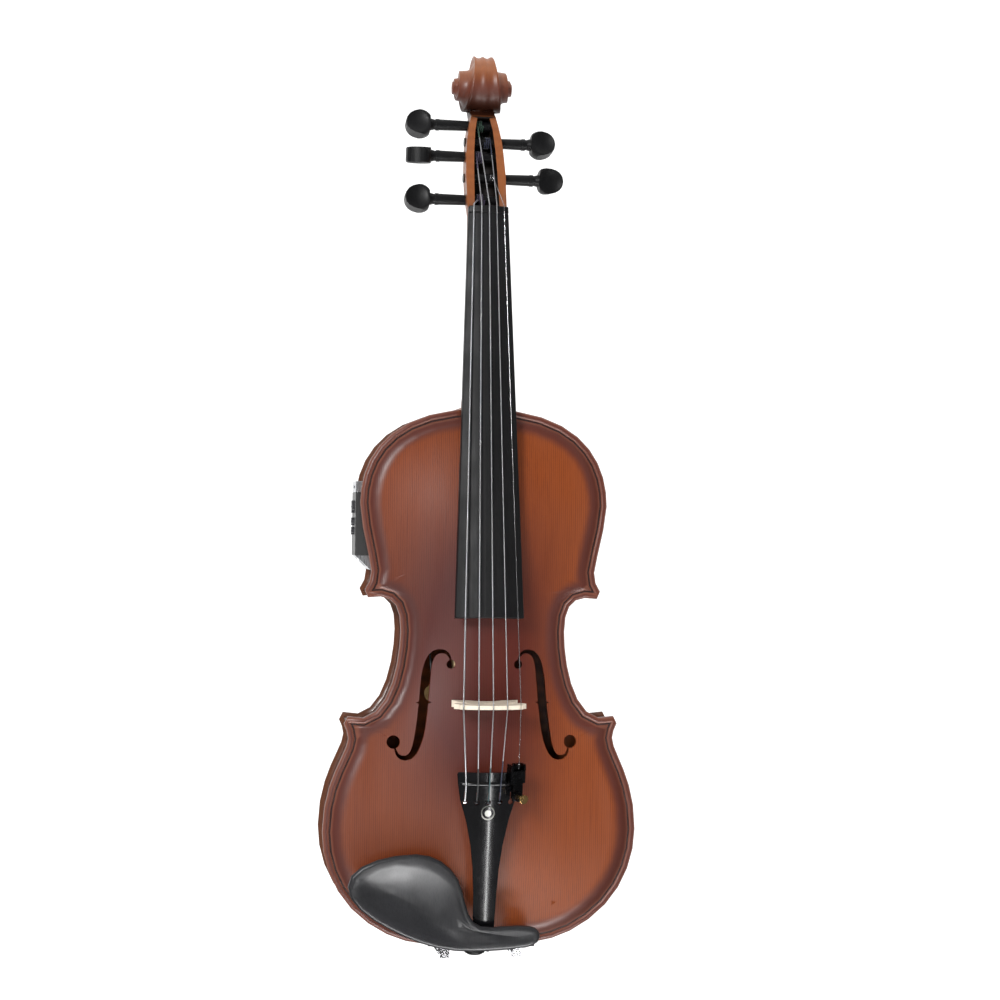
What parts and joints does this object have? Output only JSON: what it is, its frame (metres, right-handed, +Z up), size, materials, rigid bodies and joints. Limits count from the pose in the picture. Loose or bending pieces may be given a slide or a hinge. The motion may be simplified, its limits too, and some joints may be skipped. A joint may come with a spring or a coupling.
{
  "type": "electric violin",
  "caption": "Full-size electric violin with arched plates, carved scroll, tuning pegs, fine tuner, clamped chin rest and a preamp with knobs, battery drawer and output jack.",
  "frame": {"origin": "the hanging point under the scroll, on the centre line where the back of the pegbox meets a wall hanger's yoke", "axes": "+Z runs up the neck to the scroll, -Y is the front with the strings, +X is the treble side"},
  "size_m": [0.21, 0.106, 0.6086],
  "materials": {
    "spruce_front": "gloss varnish",
    "maple": "gloss varnish",
    "maple_neck": "gloss varnish",
    "dark_inlay": "gloss",
    "pale_inner_wood": "bare",
    "fingerboard_black": "matt",
    "ebony_black": "satin",
    "ebony_gloss": "gloss",
    "pale_maple": "satin",
    "white_inlay": "gloss",
    "black_cord": "satin",
    "string_metal": "polished",
    "black_metal": "gloss",
    "gold_metal": "polished",
    "cork": "matt",
    "clamp_metal": "polished",
    "panel_plastic": "satin",
    "knob_plastic": "gloss",
    "end_piece_metal": "satin",
    "cell_metal": "polished",
    "brass": "satin"
  },
  "bodies": {
    "violin": {"top_plate": "spruce_front", "top_purfling": "dark_inlay", "back_plate": "maple", "back_purfling": "dark_inlay", "rib_upper_bass": "maple", "rib_upper_treble": "maple", "rib_middle_bass": "maple", "rib_middle_treble": "maple", "rib_lower": "maple", "linings": "pale_inner_wood", "corner_blocks": "pale_inner_wood", "top_block": "pale_inner_wood", "end_block": "pale_inner_wood", "bass_bar": "pale_inner_wood", "sound_post": "pale_inner_wood", "neck_and_scroll": "maple_neck", "fingerboard": "fingerboard_black", "nut": "ebony_black", "saddle": "ebony_black", "bridge": "pale_maple", "tailpiece": "ebony_gloss", "tailpiece_inlay": "white_inlay", "tail_gut": "black_cord", "end_button": "ebony_black", "string_1": "string_metal", "string_2": "string_metal", "string_3": "string_metal", "string_4": "string_metal", "string_5": "string_metal", "tuner_body": "black_metal", "chin_rest": "ebony_gloss", "chin_rest_cork": "cork", "clamp_studs": "clamp_metal", "preamp_panel": "panel_plastic", "preamp_housing": "panel_plastic", "jack_socket": "end_piece_metal", "piezo_pickup": "brass", "pickup_lead": "black_cord"},
    "peg_1": {"peg_1": "ebony_black", "string_winding_1": "string_metal"},
    "peg_2": {"peg_2": "ebony_black", "string_winding_2": "string_metal"},
    "peg_3": {"peg_3": "ebony_black", "string_winding_3": "string_metal"},
    "peg_4": {"peg_4": "ebony_black", "string_winding_4": "string_metal"},
    "peg_5": {"peg_5": "ebony_black", "string_winding_5": "string_metal"},
    "tuner_lever": {"tuner_lever": "black_metal"},
    "tuner_shank": {"tuner_screw_shank": "gold_metal"},
    "tuner_head": {"tuner_screw_head": "gold_metal"},
    "volume_knob": {"volume_knob": "knob_plastic"},
    "bass_knob": {"bass_knob": "knob_plastic"},
    "treble_knob": {"treble_knob": "knob_plastic"},
    "battery_drawer": {"battery_drawer": "end_piece_metal", "coin_cell": "cell_metal"},
    "barrel_bass": {"clamp_barrel_bass": "clamp_metal"},
    "barrel_treble": {"clamp_barrel_treble": "clamp_metal"},
    "clamp_foot": {"clamp_foot": "clamp_metal", "clamp_foot_cork": "cork"}
  },
  "joints": [
    {"name": "peg_1_turn", "type": "hinge", "parent": "violin", "child": "peg_1", "pos_m": [-0.02, -0.00727, -0.0608], "axis": [-1, 0, 0], "continuous": true},
    {"name": "peg_2_turn", "type": "hinge", "parent": "violin", "child": "peg_2", "pos_m": [-0.02, 0.0024, -0.03], "axis": [-1, 0, 0], "continuous": true},
    {"name": "peg_3_turn", "type": "hinge", "parent": "violin", "child": "peg_3", "pos_m": [-0.02, 0.00869, -0.0077], "axis": [-1, 0, 0], "continuous": true},
    {"name": "peg_4_turn", "type": "hinge", "parent": "violin", "child": "peg_4", "pos_m": [0.02, 0.00563, -0.0195], "axis": [1, 0, 0], "continuous": true},
    {"name": "peg_5_turn", "type": "hinge", "parent": "violin", "child": "peg_5", "pos_m": [0.02, -0.00257, -0.0452], "axis": [1, 0, 0], "continuous": true},
    {"name": "tuner_shank_slide", "type": "slide", "parent": "violin", "child": "tuner_shank", "axis": [-0.3515, 0.9251, 0.1434], "range_m": [0, 0.0018]},
    {"name": "tuner_head_turn", "type": "hinge", "parent": "tuner_shank", "child": "tuner_head", "pos_m": [0.02102, -0.06761, -0.45633], "axis": [-0.3515, 0.9251, 0.1434], "range_deg": [0, 1080]},
    {"name": "tuner_lever_tilt", "type": "hinge", "parent": "violin", "child": "tuner_lever", "pos_m": [0.01726, -0.06001, -0.43997], "axis": [0.9362, 0.3473, 0.0538], "range_deg": [0, 7.6]},
    {"name": "volume_turn", "type": "hinge", "parent": "violin", "child": "volume_knob", "pos_m": [-0.0854, -0.008, -0.2683], "axis": [-1, 0, 0], "range_deg": [-150, 150]},
    {"name": "bass_turn", "type": "hinge", "parent": "violin", "child": "bass_knob", "pos_m": [-0.0854, -0.008, -0.2781], "axis": [-1, 0, 0], "range_deg": [-150, 150]},
    {"name": "treble_turn", "type": "hinge", "parent": "violin", "child": "treble_knob", "pos_m": [-0.0854, -0.008, -0.2843], "axis": [-1, 0, 0], "range_deg": [-150, 150]},
    {"name": "drawer_slide", "type": "slide", "parent": "violin", "child": "battery_drawer", "axis": [-1, 0, 0], "range_m": [0, 0.018]},
    {"name": "barrel_bass_turn", "type": "hinge", "parent": "violin", "child": "barrel_bass", "pos_m": [-0.024, -0.0085, -0.5626], "axis": [0, 1, 0], "range_deg": [0, 1800]},
    {"name": "barrel_treble_turn", "type": "hinge", "parent": "violin", "child": "barrel_treble", "pos_m": [0.024, -0.0085, -0.5626], "axis": [0, 1, 0], "range_deg": [0, 1800]},
    {"name": "clamp_foot_slide", "type": "slide", "parent": "violin", "child": "clamp_foot", "axis": [0, 1, 0], "range_m": [0, 0.005]}
  ],
  "couplings": [
    {"joint": "tuner_head_turn", "follows": "tuner_shank_slide", "rad_per_m": 10471},
    {"joint": "tuner_lever_tilt", "follows": "tuner_shank_slide", "rad_per_m": 73.684},
    {"joint": "barrel_bass_turn", "follows": "clamp_foot_slide", "rad_per_m": 6282.6},
    {"joint": "barrel_treble_turn", "follows": "clamp_foot_slide", "rad_per_m": 6282.6}
  ]
}
